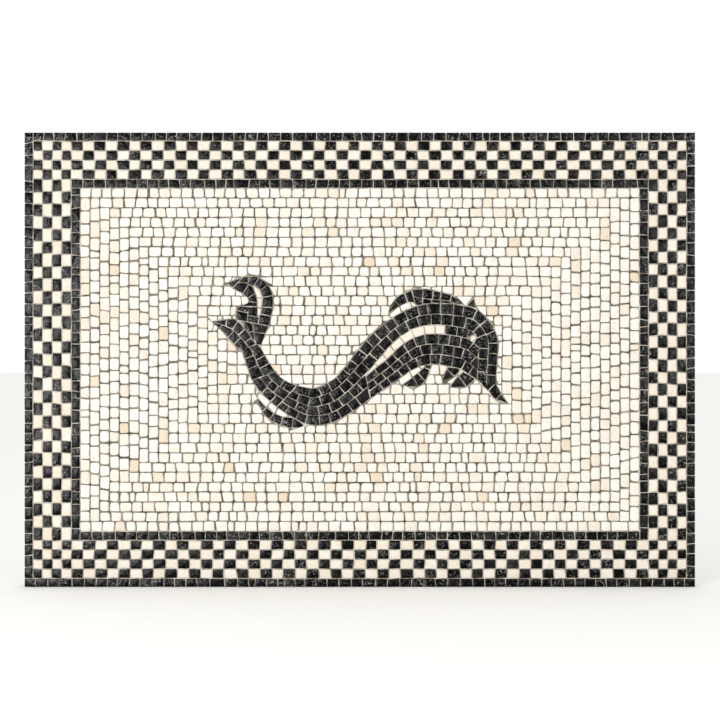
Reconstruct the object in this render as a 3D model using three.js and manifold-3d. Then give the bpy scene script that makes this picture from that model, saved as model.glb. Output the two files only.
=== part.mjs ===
// A wall panel of black and white marble mosaic: a dolphin on a white ground inside a chequered border.
// Millimetres, +Z up. The back of the board lies in the plane y = 0 and the stones face -Y.
import * as THREE from "three";
import { mergeVertices } from "three/addons/utils/BufferGeometryUtils.js";
import Module from "manifold-3d";

const wasm = await Module();
wasm.setup();

// Overall size
const panelWidth = 704;
const panelHeight = 477;

// Layers, from the wall outwards
const boardThickness = 10;
const bedThickness = 2;
const stoneThickness = 8;
const mortarRecess = 1;
const boardInset = 1;

// Stones and the joints between them
const joint = 1.05;
const blackStoneWidth = 8.2;
const chequerStoneWidth = 9;
const groundStoneWidth = 9.3;
const stoneLength = 11;
const chequerCourses = 4;
const grooveDepth = 0.8 * mortarRecess;
const grooveWidth = 1.5 * joint;

// The figure, its place and its fits
const figureLength = 309;
const figureRight = 0;
const figureUp = 1;
const eyeRadius = 2.7;
const eyeSides = 12;
const mortarFit = 0.15;
const chord = 17;

// Heights over the wall
const stoneBack = boardThickness + bedThickness;
const face = stoneBack + stoneThickness;
const mortarFace = face - mortarRecess;

// The figure's lines, as pairs of points on its two edges, in hundredths of its length from its middle
const bodyPairs = [
  [[-34.7, 4.7], [-40, 2.8]],
  [[-26.9, -6.6], [-34.4, -10.4]],
  [[-16.5, -10.4], [-21.4, -20.6]],
  [[-12.2, -9], [-13.5, -22.4]],
  [[-6.8, -5.2], [-5.5, -19.6]],
  [[5, 9], [9.4, -9.4]],
  [[19.9, 17.9], [21.4, -2]],
  [[35.9, 17.8], [33.2, -3]],
  [[42.5, 14.2], [37, -5.1]],
  [[46.5, 7.6], [40, -7.1]],
  [[46.6, 0], [41.8, -8.9]],
  [[46.2, -8.3], [43.8, -10.7]],
  [[47.8, -11.8], [45.7, -13.3]],
  [[49.9, -14.7], [49.5, -14.8]],
];
const dorsalPairs = [
  [[10.2, 16.1], [10.5, 15.9]],
  [[12.4, 20.4], [14.4, 18.6]],
  [[16.5, 22.8], [17.9, 19.5]],
  [[20.9, 23.6], [21.2, 17.4]],
  [[31.3, 21.4], [29.6, 17.8]],
  [[35.6, 18], [35, 17]],
];
const crestPairs = [
  [[36.2, 17.7], [39.7, 15.8]],
  [[38.4, 20.4], [38.7, 20.3]],
];
const pectoralPairs = [
  [[15.1, -8.6], [15.4, -9]],
  [[18.2, -6.4], [18.6, -9.8]],
  [[21.2, -3.8], [22.4, -7.1]],
  [[23.4, -1.4], [24.3, -1.6]],
];
const jawPairs = [
  [[31, -9.2], [31.3, -9.5]],
  [[33.3, -6.5], [35.6, -9.6]],
  [[35.4, -4.3], [39.2, -6.6]],
];
const throatPairs = [
  [[28.2, -7.1], [28.6, -7.3]],
  [[29.4, -4.3], [31.7, -6.2]],
  [[30.9, -1.8], [34.6, -3.4]],
];
const bellyFinPairs = [
  [[-34.7, -13.7], [-34.9, -14.1]],
  [[-31.6, -16.9], [-32.3, -18.8]],
  [[-27.2, -19.7], [-27.5, -22.2]],
  [[-22.1, -20.2], [-22, -23.3]],
  [[-16.4, -21.8], [-16.4, -22.4]],
];
const lowerFlukePairs = [
  [[-49.4, 12.5], [-49.5, 12.1]],
  [[-46, 13.1], [-46.7, 9.6]],
  [[-41.3, 12.5], [-43.5, 5.9]],
  [[-35.4, 4.9], [-39.6, 2.4]],
];
const curledFlukePairs = [
  [[-33.9, 4.6], [-37, 6]],
  [[-31.4, 10.6], [-41.4, 12.6]],
  [[-29.9, 16.2], [-41.4, 17.3]],
  [[-29.6, 19.6], [-37.7, 18.5]],
  [[-30.5, 23.7], [-38.1, 21.1]],
  [[-34, 27.3], [-40.2, 22.6]],
  [[-38, 28.3], [-42.4, 23.8]],
  [[-44.6, 25.8], [-44.8, 25.5]],
];
const sliverPairs = [
  [[-35.7, 24.6], [-36, 24.2]],
  [[-34.1, 23.2], [-35.5, 22.4]],
  [[-33.3, 20.2], [-34.7, 19.9]],
  [[-34, 14.8], [-34.6, 14.8]],
];

// Stone rows along the figure: from and to count along the pairs above
const bodyRows = [
  { from: 0, to: 0.75, rows: 2 },
  { from: 0.75, to: 1.5, rows: 3 },
  { from: 1.5, to: 4.6, rows: 4 },
  { from: 6.55, to: 9, rows: 5 },
  { from: 9, to: 11, rows: 3 },
  { from: 11, to: 13, rows: 1 },
];
const curledFlukeRows = [
  { from: 0, to: 1, rows: 1 },
  { from: 1, to: 7, rows: 2 },
];
const lowerFlukeRows = [{ from: 0, to: 3, rows: 2 }];
const dorsalRows = [
  { from: 0, to: 2.3, rows: 1 },
  { from: 2.3, to: 5, rows: 2 },
];
const stripe = { from: 4.62, to: 6.55, level: 5.8, start: 0.54, end: 0.425, half: 0.068, taper: 0.6 };
const stripeUpperRows = 2;
const stripeLowerRows = 3;

// The eye's place on the body: along the pairs above, and from the back to the belly
const eyeStation = 7.6;
const eyeShare = 0.445;

// Materials
const blackMarble = new THREE.MeshStandardMaterial({ color: 0x383837, roughness: 0.55 });
const whiteMarble = new THREE.MeshStandardMaterial({ color: 0xf8f3e7, roughness: 0.6 });
const mortar = new THREE.MeshStandardMaterial({ color: 0x9b917f, roughness: 0.95 });
const cementBoard = new THREE.MeshStandardMaterial({ color: 0xb4b0a6, roughness: 0.95 });

// Solids: three.js geometry in and out of manifold-3d
function solidOf(geometry) {
  const bare = geometry.index ? geometry.toNonIndexed() : geometry.clone();
  bare.deleteAttribute("normal");
  bare.deleteAttribute("uv");
  const merged = mergeVertices(bare, 1e-4);
  return new wasm.Manifold(
    new wasm.Mesh({
      numProp: 3,
      vertProperties: merged.attributes.position.array,
      triVerts: new Uint32Array(merged.index.array),
    }),
  );
}

function slab(points, low, high, hole) {
  const shape = new THREE.Shape(points);
  if (hole) shape.holes.push(new THREE.Path(hole));
  const geometry = new THREE.ExtrudeGeometry(shape, { depth: high - low, bevelEnabled: false });
  return solidOf(geometry.translate(0, 0, low));
}

// A rectangle about the panel's middle, as far inside the panel's edge as inset says
function rectangle(inset) {
  const x = panelWidth / 2 - inset;
  const y = panelHeight / 2 - inset;
  return [
    new THREE.Vector2(-x, -y),
    new THREE.Vector2(x, -y),
    new THREE.Vector2(x, y),
    new THREE.Vector2(-x, y),
  ];
}

// A path of straight lengths between points, whose steps fall on the points
class Polyline extends THREE.Curve {
  constructor(points) {
    super();
    this.points = points;
  }

  getPoint(t, target = new THREE.Vector3()) {
    const place = THREE.MathUtils.clamp(t, 0, 1) * (this.points.length - 1);
    const i = Math.min(Math.floor(place), this.points.length - 2);
    return target.lerpVectors(this.points[i], this.points[i + 1], place - i);
  }

  getUtoTmapping(u) {
    return u;
  }
}

// A V-shaped groove in the stone face through a row of points
function groove(points) {
  const wedge = new THREE.Shape([
    new THREE.Vector2(grooveDepth, 0),
    new THREE.Vector2(-grooveDepth, grooveWidth),
    new THREE.Vector2(-grooveDepth, -grooveWidth),
  ]);
  const path = new Polyline(points.map((point) => new THREE.Vector3(point.x, point.y, face)));
  return solidOf(new THREE.ExtrudeGeometry(wedge, { steps: points.length - 1, extrudePath: path }));
}

function cutAll(body, cutters) {
  return cutters.reduce((rest, cutter) => rest.subtract(cutter), body);
}

// Courses that run round the panel
function ring(inset, width, low, high) {
  return slab(rectangle(inset), low, high, rectangle(inset + width));
}

// The joints between the stones of one course: the upright sides own the corners
function courseJoints(inset, width) {
  const x = panelWidth / 2 - inset;
  const y = panelHeight / 2 - inset;
  const pitch = stoneLength + joint;
  const across = 2 * (x - width);
  const columns = Math.max(1, Math.round(across / pitch));
  const rows = Math.max(1, Math.round((2 * y) / pitch));
  const cutters = [];
  for (const side of [-1, 1]) {
    for (let i = 0; i <= columns; i++) {
      const at = (i / columns - 0.5) * across;
      const outer = new THREE.Vector2(at, side * (y + joint));
      const inner = new THREE.Vector2(at, side * (y - width - joint));
      cutters.push(groove([outer, inner]));
    }
    for (let i = 1; i < rows; i++) {
      const at = (i / rows - 0.5) * 2 * y;
      const outer = new THREE.Vector2(side * (x + joint), at);
      const inner = new THREE.Vector2(side * (x - width - joint), at);
      cutters.push(groove([outer, inner]));
    }
  }
  return cutters;
}

// An area of stones between two edge lines
class Strip {
  constructor(pairs) {
    const edge = (side) =>
      new THREE.CatmullRomCurve3(
        pairs.map((pair) => figurePoint(pair[side])),
        false,
        "catmullrom",
      );
    this.last = pairs.length - 1;
    this.edges = [edge(0), edge(1)];
  }

  at(u, share) {
    const [near, far] = this.edges.map((edge) => edge.getPoint(u / this.last));
    return near.lerp(far, share);
  }
}

function figurePoint([right, up]) {
  const scale = figureLength / 100;
  return new THREE.Vector3(right * scale + figureRight, up * scale + figureUp, face);
}

// A line that runs along a strip at a share of its width, which may change on the way
class Lane extends THREE.Curve {
  constructor(strip, share, from, to) {
    super();
    Object.assign(this, { strip, share, from, to });
  }

  getPoint(t, target = new THREE.Vector3()) {
    const u = THREE.MathUtils.lerp(this.from, this.to, t);
    return target.copy(this.strip.at(u, this.share(u)));
  }
}

function outline(strip, from, to, nearShare, farShare) {
  const lines = [nearShare, farShare].map((share) => {
    const lane = new Lane(strip, share, from, to);
    return lane.getSpacedPoints(Math.max(1, Math.round(lane.getLength() / chord)));
  });
  const points = [...lines[1], ...lines[0].reverse()].map((p) => new THREE.Vector2(p.x, p.y));
  return THREE.ShapeUtils.isClockWise(points) ? points.reverse() : points;
}

function wholeOutline(strip) {
  return outline(strip, 0, strip.last, () => 0, () => 1);
}

// An outline moved outwards by a margin
function grown(points, margin) {
  const count = points.length;
  const sharpest = 2;
  return points.map((point, i) => {
    const before = point.clone().sub(points[(i + count - 1) % count]).normalize();
    const after = points[(i + 1) % count].clone().sub(point).normalize();
    const normal = new THREE.Vector2(before.y + after.y, -before.x - after.x).normalize();
    const stretch = Math.min(sharpest, 1 / normal.dot(new THREE.Vector2(after.y, -after.x)));
    return point.clone().addScaledVector(normal, margin * stretch);
  });
}

// The joints of the rows of stones between two shares of a strip
function rowJoints(strip, { from, to, rows, top = () => 0, bottom = () => 1 }) {
  const point = (u, part) => strip.at(u, THREE.MathUtils.lerp(top(u), bottom(u), part));
  const overrun = 0.06;
  const cutters = from > 0 ? [groove([point(from, -overrun), point(from, 1 + overrun)])] : [];
  let rowAbove = [];
  for (let row = 0; row < rows; row++) {
    const middle = (u) => THREE.MathUtils.lerp(top(u), bottom(u), (row + 0.5) / rows);
    const lane = new Lane(strip, middle, from, to);
    const stones = Math.max(1, Math.round(lane.getLength() / (stoneLength + joint)));
    const joints = [];
    for (let i = row % 2 === 0 ? 1 : 0.5; i < stones; i++) {
      joints.push(THREE.MathUtils.lerp(from, to, lane.getUtoTmapping(i / stones)));
    }
    const near = row === 0 ? -overrun : row / rows;
    const far = row === rows - 1 ? 1 + overrun : (row + 1) / rows;
    for (const u of joints) cutters.push(groove([point(u, near), point(u, far)]));
    const stations = [...new Set([from, ...joints, ...rowAbove, to])].sort((a, b) => a - b);
    if (row > 0) cutters.push(groove(stations.map((u) => point(u, row / rows))));
    rowAbove = joints;
  }
  return cutters;
}

// The areas of the figure. Each one stops a joint short of those that it is cut by.
const body = new Strip(bodyPairs);
const stripeHalf = (u) => stripe.half * Math.min(1, 0.1 + (u - stripe.from) / stripe.taper);
const stripeMiddle = (u) =>
  THREE.MathUtils.lerp(stripe.start, stripe.end, THREE.MathUtils.smoothstep(u, stripe.from, stripe.level));
const stripeTop = (u) => stripeMiddle(u) - stripeHalf(u);
const stripeBottom = (u) => stripeMiddle(u) + stripeHalf(u);
const aboveStripe = { from: stripe.from, to: stripe.to, rows: stripeUpperRows, bottom: stripeTop };
const belowStripe = { from: stripe.from, to: stripe.to, rows: stripeLowerRows, top: stripeBottom };

const areas = {};
function area(name, pairs, rows, cutBy, material = blackMarble) {
  const strip = new Strip(pairs);
  areas[name] = { strip, points: wholeOutline(strip), rows, cutBy, material };
}

areas.dolphin_flank_stripe = {
  points: outline(body, stripe.from, stripe.to, stripeTop, stripeBottom),
  material: whiteMarble,
};
area("dolphin_fluke_sliver", sliverPairs, [], [], whiteMarble);
area("dolphin_body", bodyPairs, [...bodyRows, aboveStripe, belowStripe], ["dolphin_flank_stripe"]);
const finPairs = {
  dolphin_pectoral_fin: pectoralPairs,
  dolphin_jaw_fin: jawPairs,
  dolphin_belly_fin: bellyFinPairs,
};
for (const [name, pairs] of Object.entries(finPairs)) {
  area(name, pairs, [{ from: 0, to: pairs.length - 1, rows: 1 }], ["dolphin_body"]);
}
area("dolphin_dorsal_fin", dorsalPairs, dorsalRows, ["dolphin_body"]);
area("dolphin_throat_fin", throatPairs, [], ["dolphin_body", "dolphin_jaw_fin"]);
area("dolphin_crest", crestPairs, [], ["dolphin_body", "dolphin_dorsal_fin"]);
area("dolphin_lower_fluke", lowerFlukePairs, lowerFlukeRows, ["dolphin_body"]);
area("dolphin_curled_fluke", curledFlukePairs, curledFlukeRows, [
  "dolphin_fluke_sliver",
  "dolphin_body",
  "dolphin_lower_fluke",
]);

function areaSolid({ points, cutBy = [] }, margin, low, high) {
  const neighbours = cutBy.map((name) => slab(grown(areas[name].points, joint - margin), low - 1, high + 1));
  return cutAll(slab(grown(points, margin), low, high), neighbours);
}

const eyeMiddle = body.at(eyeStation, eyeShare);
function eyeDisc(radius, low, high) {
  const disc = new THREE.CylinderGeometry(radius, radius, high - low, eyeSides).rotateX(Math.PI / 2);
  return solidOf(disc.translate(eyeMiddle.x, eyeMiddle.y, (low + high) / 2));
}

// Parts of the panel
const panel = new THREE.Group();

function add(name, solid, material) {
  const mesh = solid.getMesh();
  const geometry = new THREE.BufferGeometry();
  geometry.setAttribute("position", new THREE.BufferAttribute(mesh.vertProperties, 3));
  geometry.setIndex(new THREE.BufferAttribute(mesh.triVerts, 1));
  geometry.computeVertexNormals();
  const piece = new THREE.Mesh(geometry, material);
  piece.name = name;
  panel.add(piece);
}

// The border, from the edge inwards
let inset = 0;
const jointInsets = [];
function nextCourse(name, width, material, cutters) {
  add(name, cutAll(ring(inset, width, stoneBack, face), cutters), material);
  jointInsets.push(inset + width);
  inset = inset + width + joint;
}

nextCourse("outer_black_course", blackStoneWidth, blackMarble, courseJoints(inset, blackStoneWidth));
for (let i = 1; i <= chequerCourses; i++) {
  nextCourse("chequer_course_" + i, chequerStoneWidth, whiteMarble, []);
}
nextCourse("inner_black_course", blackStoneWidth, blackMarble, []);

// The white ground: an odd number of rows, fitted to the field
const fieldHeight = panelHeight - 2 * inset;
const rowCount = 2 * Math.round(((fieldHeight + joint) / (groundStoneWidth + joint) - 1) / 2) + 1;
const rowPitch = (fieldHeight + joint) / rowCount;

const pockets = Object.values(areas).map(({ points }) => slab(grown(points, joint), stoneBack - 1, face + 1));

// The courses in the outer half of the ground run round the panel one by one
const wholeCourses = Math.floor(rowCount / 4);
for (let i = 1; i <= wholeCourses; i++) {
  nextCourse("ground_course_" + String(i).padStart(2, "0"), rowPitch - joint, whiteMarble, pockets);
}

// The middle of the ground is one area, with a pocket for the figure and grooves between its courses
const groundCutters = [];
for (let k = 1; k < (rowCount + 1) / 2 - wholeCourses; k++) {
  const corners = rectangle(inset + k * rowPitch - joint / 2);
  corners.forEach((corner, i) => groundCutters.push(groove([corner, corners[(i + 1) % 4]])));
}
const groundBlock = slab(rectangle(inset), stoneBack, face);
add("ground_centre", cutAll(groundBlock, [...groundCutters, ...pockets]), whiteMarble);

// The dolphin, area by area
add("dolphin_eye", eyeDisc(eyeRadius, stoneBack, face), whiteMarble);
for (const [name, area] of Object.entries(areas)) {
  const cutters = (area.rows ?? []).flatMap((course) => rowJoints(area.strip, course));
  const eyeHole = eyeDisc(eyeRadius + mortarFit, stoneBack - 1, face + 1);
  const stones = cutAll(areaSolid(area, 0, stoneBack, face), cutters);
  add(name, stones.subtract(eyeHole), area.material);
}

// The mortar bed: a plate with a rib in every joint between courses and round the figure
let bed = slab(rectangle(boardInset), boardThickness, stoneBack);
for (const edge of jointInsets) bed = bed.add(ring(edge, joint, boardThickness, mortarFace));
for (const { points } of Object.values(areas)) {
  bed = bed.add(slab(grown(points, joint - mortarFit), boardThickness, mortarFace));
}
const stonePlaces = Object.values(areas).map((area) => areaSolid(area, mortarFit, stoneBack, face));
add("mortar_bed", cutAll(bed, stonePlaces), mortar);

add("backing_board", slab(rectangle(boardInset), 0, boardThickness), cementBoard);

// Stand the panel upright with its stones towards -Y
const upright = new THREE.Matrix4().set(1, 0, 0, 0, 0, 0, -1, 0, 0, 1, 0, 0, 0, 0, 0, 1);
panel.children.forEach((piece) => piece.geometry.applyMatrix4(upright));

export default panel;
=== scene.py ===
# A wall panel of black and white marble mosaic: a dolphin on a white ground inside a chequered border.
# The frame is in metres, +Z up, with the back of the board at y = 0 and the stones facing -Y.
# The stones are laid out flat, in millimetres, as seen from the front: right along +X and up along +Z.
import math
import random
from collections import namedtuple

import bmesh
import bpy
from mathutils import Matrix, Vector, bvhtree, kdtree, noise


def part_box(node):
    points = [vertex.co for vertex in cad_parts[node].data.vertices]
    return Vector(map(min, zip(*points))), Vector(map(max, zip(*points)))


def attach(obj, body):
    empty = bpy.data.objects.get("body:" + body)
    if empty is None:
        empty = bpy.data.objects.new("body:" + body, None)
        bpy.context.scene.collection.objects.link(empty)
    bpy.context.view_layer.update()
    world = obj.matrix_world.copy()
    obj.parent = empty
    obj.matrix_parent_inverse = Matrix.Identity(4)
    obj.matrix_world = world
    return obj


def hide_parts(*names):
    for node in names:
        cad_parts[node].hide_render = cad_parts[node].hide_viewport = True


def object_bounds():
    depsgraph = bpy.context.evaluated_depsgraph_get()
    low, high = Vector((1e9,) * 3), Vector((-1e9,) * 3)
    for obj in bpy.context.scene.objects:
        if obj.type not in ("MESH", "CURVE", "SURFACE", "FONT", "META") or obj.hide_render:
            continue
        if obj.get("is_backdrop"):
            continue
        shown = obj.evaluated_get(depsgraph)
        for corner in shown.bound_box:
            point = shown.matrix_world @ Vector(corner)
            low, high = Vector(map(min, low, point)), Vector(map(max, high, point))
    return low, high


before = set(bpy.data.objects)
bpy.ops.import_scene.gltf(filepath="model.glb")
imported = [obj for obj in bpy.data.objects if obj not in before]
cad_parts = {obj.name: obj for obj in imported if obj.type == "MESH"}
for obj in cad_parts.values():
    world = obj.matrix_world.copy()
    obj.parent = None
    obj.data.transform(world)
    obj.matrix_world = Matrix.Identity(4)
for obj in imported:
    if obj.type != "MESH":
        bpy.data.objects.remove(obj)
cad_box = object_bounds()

MM = 0.001
dice = random.Random(7)
noise.seed_set(7)

# Joints and stones
JOINT = 1.05
HALF_JOINT = JOINT / 2
BLACK_PITCH = 11.9
BLACK_SPREAD = 0.14
BLACK_SLANT = 0.3
GROUND_PITCH_ACROSS = 12.1
GROUND_PITCH_UP = 12.8
GROUND_SPREAD = 0.15
GROUND_SLANT = 0.35
GROUND_SLACK = 0.22
GROUND_JITTER = 0.2
GROUND_GAIN = 0.2
BORDER_JITTER = 0.15
BORDER_GAIN = 0.2
BORDER_WHITE_SLACK = 0.15
SHORT_GAP = 13
SHORTEST_RUN = 3
TIP_INTO_GAP = 4.5
SMALLEST_AREA = 6
SMALLEST_WIDTH = 1.9
SMALLEST_GROUND_WIDTH = 2.0
SHORTEST_EDGE = 1.4
NO_EDGE = 0.05

# Now and then a stone in a run of more than a few is slim or long
ODD_SHARE = 0.04
SLIM = 0.6
LONG = 1.3
FEW = 3

# The chequer: stones of its outermost course on each side, and the square blocks at its corners
CHEQUER_COURSES = 4
CHEQUER_COUNTS = {"top": 58, "right": 38, "bottom": 57, "left": 37}
CHEQUER_WANDER = 0.7
CHEQUER_SLANT = 0.25

# The figure, as in the solids: its length and place, and its edge lines as pairs of points
# in hundredths of its length from the panel's middle
FIGURE_LENGTH = 309
FIGURE_RIGHT = 0
FIGURE_UP = 1
EYE_RADIUS = 2.7
FIGURE_STONE = 12.05
FIN_STONE = 10.4
FIGURE_JITTER = 0.25
FIGURE_GAIN = 0.05
ROW_SHIFT = 0.2
TIP_REACH = 1.3
BODY_PAIRS = [
    [(-34.7, 4.7), (-40, 2.8)],
    [(-26.9, -6.6), (-34.4, -10.4)],
    [(-16.5, -10.4), (-21.4, -20.6)],
    [(-12.2, -9), (-13.5, -22.4)],
    [(-6.8, -5.2), (-5.5, -19.6)],
    [(5, 9), (9.4, -9.4)],
    [(19.9, 17.9), (21.4, -2)],
    [(35.9, 17.8), (33.2, -3)],
    [(42.5, 14.2), (37, -5.1)],
    [(46.5, 7.6), (40, -7.1)],
    [(46.6, 0), (41.8, -8.9)],
    [(46.2, -8.3), (43.8, -10.7)],
    [(47.8, -11.8), (45.7, -13.3)],
    [(49.9, -14.7), (49.5, -14.8)],
]
DORSAL_PAIRS = [
    [(10.2, 16.1), (10.5, 15.9)],
    [(12.4, 20.4), (14.4, 18.6)],
    [(16.5, 22.8), (17.9, 19.5)],
    [(20.9, 23.6), (21.2, 17.4)],
    [(31.3, 21.4), (29.6, 17.8)],
    [(35.6, 18), (35, 17)],
]
CREST_PAIRS = [[(36.2, 17.7), (39.7, 15.8)], [(38.4, 20.4), (38.7, 20.3)]]
PECTORAL_PAIRS = [
    [(15.1, -8.6), (15.4, -9)],
    [(18.2, -6.4), (18.6, -9.8)],
    [(21.2, -3.8), (22.4, -7.1)],
    [(23.4, -1.4), (24.3, -1.6)],
]
JAW_PAIRS = [[(31, -9.2), (31.3, -9.5)], [(33.3, -6.5), (35.6, -9.6)], [(35.4, -4.3), (39.2, -6.6)]]
THROAT_PAIRS = [[(28.2, -7.1), (28.6, -7.3)], [(29.4, -4.3), (31.7, -6.2)], [(30.9, -1.8), (34.6, -3.4)]]
BELLY_FIN_PAIRS = [
    [(-34.7, -13.7), (-34.9, -14.1)],
    [(-31.6, -16.9), (-32.3, -18.8)],
    [(-27.2, -19.7), (-27.5, -22.2)],
    [(-22.1, -20.2), (-22, -23.3)],
    [(-16.4, -21.8), (-16.4, -22.4)],
]
LOWER_FLUKE_PAIRS = [
    [(-49.4, 12.5), (-49.5, 12.1)],
    [(-46, 13.1), (-46.7, 9.6)],
    [(-41.3, 12.5), (-43.5, 5.9)],
    [(-35.4, 4.9), (-39.6, 2.4)],
]
CURLED_FLUKE_PAIRS = [
    [(-33.9, 4.6), (-37, 6)],
    [(-31.4, 10.6), (-41.4, 12.6)],
    [(-29.9, 16.2), (-41.4, 17.3)],
    [(-29.6, 19.6), (-37.7, 18.5)],
    [(-30.5, 23.7), (-38.1, 21.1)],
    [(-34, 27.3), (-40.2, 22.6)],
    [(-38, 28.3), (-42.4, 23.8)],
    [(-44.6, 25.8), (-44.8, 25.5)],
]
SLIVER_PAIRS = [
    [(-35.7, 24.6), (-36, 24.2)],
    [(-34.1, 23.2), (-35.5, 22.4)],
    [(-33.3, 20.2), (-34.7, 19.9)],
    [(-34, 14.8), (-34.6, 14.8)],
]

# White stones laid along the figure where a fin leaves a narrow wedge, drawn into their neighbours
DORSAL_LINING_PAIRS = [[(10.2, 16.3), (10.6, 14.4)], [(14.2, 19), (15.4, 14.6)], [(19.6, 20), (20.4, 16.6)]]
PECTORAL_LINING_PAIRS = [
    [(12.8, -5.2), (14.2, -8.8)],
    [(17.6, -2.6), (18.8, -7)],
    [(22.3, -0.4), (23.2, -2.6)],
]
BELLY_LINING_PAIRS = [
    [(-33.4, -10.8), (-35, -13.7)],
    [(-29.4, -14.6), (-31.8, -17.8)],
    [(-24.6, -17), (-26.4, -20.8)],
    [(-21.2, -19), (-22, -21.8)],
]

# Rows of stones along the figure: from and to count along the pairs
PARTING_FROM = 1.5
BEAK_ROWS = (11, 13, 1)
BROW_FROM = 8.15
BROW_TO = 11
BROW_WIDTH = 19
BROW_ROWS = 2
STRIPE_FROM = 4.62
STRIPE_TO = 6.55
STRIPE_LEVEL = 5.8
STRIPE_START = 0.54
STRIPE_END = 0.425
STRIPE_HALF = 0.068
STRIPE_TAPER = 0.6
STRIPE_UPPER_ROWS = 2
STRIPE_LOWER_ROWS = 3
BELOW_PARTING_ROWS = 2
HEAD_TO = 9
BODY_ROWS = [(0, 0.75, 2), (0.75, PARTING_FROM, 3), (HEAD_TO, BROW_TO, 1)]
EYE_STATION = 7.6
EYE_SHARE = 0.445


# Flat shapes
def signed_area(polygon):
    return sum(a.x * b.y - b.x * a.y for a, b in edges_of(polygon)) / 2


def middle_of(polygon):
    return sum(polygon, Vector((0, 0))) / len(polygon)


def edges_of(polygon):
    return zip(polygon, polygon[1:] + polygon[:1])


def mean_width(polygon):
    """Twice the width of a long sliver, and the side of a square."""
    return 4 * abs(signed_area(polygon)) / max(0.01, sum((b - a).length for a, b in edges_of(polygon)))


def clip(polygon, point, normal):
    """The part of a convex polygon on the side of a line that its normal points to."""
    kept = []
    for a, b in edges_of(polygon):
        over_a = (a - point).dot(normal)
        over_b = (b - point).dot(normal)
        if over_a >= 0:
            kept.append(a)
        if (over_a >= 0) != (over_b >= 0):
            kept.append(a.lerp(b, over_a / (over_a - over_b)))
    return kept


def outward(a, b):
    """The unit normal to the right of a line, which is outwards on an outline that runs anticlockwise."""
    along = (b - a).normalized()
    return Vector((along.y, -along.x))


def shrunk(polygon, margin):
    """A convex polygon with each of its edges moved inwards."""
    rest = polygon
    for a, b in edges_of(polygon):
        if (b - a).length > NO_EDGE and rest:
            normal = -outward(a, b)
            rest = clip(rest, a + normal * margin, normal)
    return rest


def hull(points):
    """The convex outline of a few points, anticlockwise."""
    ordered = sorted(points, key=lambda point: (point.x, point.y))
    chains = []
    for run in (ordered, ordered[::-1]):
        chain = []
        for point in run:
            while len(chain) > 1 and (chain[-1] - chain[-2]).cross(point - chain[-1]) <= 0:
                chain.pop()
            chain.append(point)
        chains += chain[:-1]
    return chains


def simplified(polygon, shortest, flattest=0.4):
    """A polygon without the points that hardly show and without short edges, with its main corners kept."""
    rest = list(polygon)
    while len(rest) > 3:
        count = len(rest)
        corners = [[rest[i - 1], rest[i], rest[(i + 1) % count]] for i in range(count)]
        areas = [abs(signed_area(corner)) for corner in corners]
        lengths = [(rest[i] - rest[i - 1]).length for i in range(count)]
        flat = areas.index(min(areas))
        short = lengths.index(min(lengths))
        if areas[flat] < flattest:
            rest.pop(flat)
        elif lengths[short] < shortest:
            rest.pop(short if areas[short] < areas[short - 1] else short - 1)
        else:
            break
    return rest


# Lines of the figure
def figure_point(point):
    scale = FIGURE_LENGTH / 100
    return Vector((point[0] * scale + FIGURE_RIGHT, point[1] * scale + FIGURE_UP))


def on_spline(points, u):
    """A point on a smooth line through points, at u steps from its start."""
    last = len(points) - 1
    i = max(0, min(int(u), last - 1))
    here, there = points[i], points[i + 1]
    before = points[i - 1] if i > 0 else 2 * here - there
    after = points[i + 2] if i + 2 <= last else 2 * there - here
    leave, arrive = (there - before) / 2, (after - here) / 2
    w = u - i
    bend = 2 * (here - there) + leave + arrive
    lift = 3 * (there - here) - 2 * leave - arrive
    return ((bend * w + lift) * w + leave) * w + here


class Strip:
    """An area of stones between two edge lines."""

    start = 0

    def __init__(self, pairs):
        self.edges = [[figure_point(pair[side]) for pair in pairs] for side in (0, 1)]
        self.last = len(pairs) - 1

    def at(self, u, share):
        near, far = (on_spline(edge, u) for edge in self.edges)
        return near.lerp(far, share)

    def half_joint_share(self, u):
        """Half a joint as a share of the strip's width there."""
        return HALF_JOINT / max(2.5, (self.at(u, 1) - self.at(u, 0)).length)

    def outline(self, step=0.04):
        length = self.last - self.start
        count = round(length / step)
        places = [self.start + length * i / count for i in range(count + 1)]
        near = [self.at(u, 0) for u in places]
        far = [self.at(u, 1) for u in reversed(places)]
        return anticlockwise(near + far)


class Brow(Strip):
    """A band of stones along the body's back edge, round the forehead and down to the beak."""

    def __init__(self, body, start, end, width):
        self.body = body
        self.start = start
        self.last = end
        self.width = width

    def at(self, u, share):
        step = 0.01
        edge = self.body.at(u, 0)
        along = (self.body.at(u + step, 0) - self.body.at(u - step, 0)).normalized()
        return edge + Vector((along.y, -along.x)) * share * self.width


def anticlockwise(polygon):
    return polygon if signed_area(polygon) > 0 else polygon[::-1]


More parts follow.
